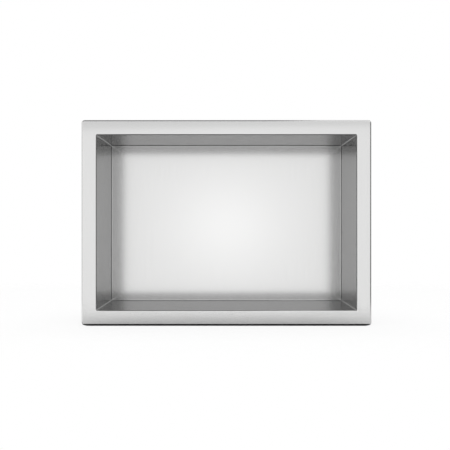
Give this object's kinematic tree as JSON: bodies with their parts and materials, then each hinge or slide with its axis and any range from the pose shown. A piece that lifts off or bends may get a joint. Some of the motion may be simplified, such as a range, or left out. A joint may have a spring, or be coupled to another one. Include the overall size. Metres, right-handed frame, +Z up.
{
  "type": "shower niche insert",
  "caption": "Rectangular recessed shower niche insert in brushed stainless steel: a flat wall flange with a return lip, an open recess for bottles and soap, and a plain back panel.",
  "frame": {"origin": "centre of the opening, in the plane of the finished wall, where the return lip's rim bears", "axes": "+Z up, +X to the right along the width, +Y into the wall; the open front faces -Y"},
  "size_m": [0.432, 0.102, 0.306],
  "materials": {
    "brushed_steel": "satin"
  },
  "bodies": {
    "root": {"niche_body": "brushed_steel"}
  },
  "joints": []
}
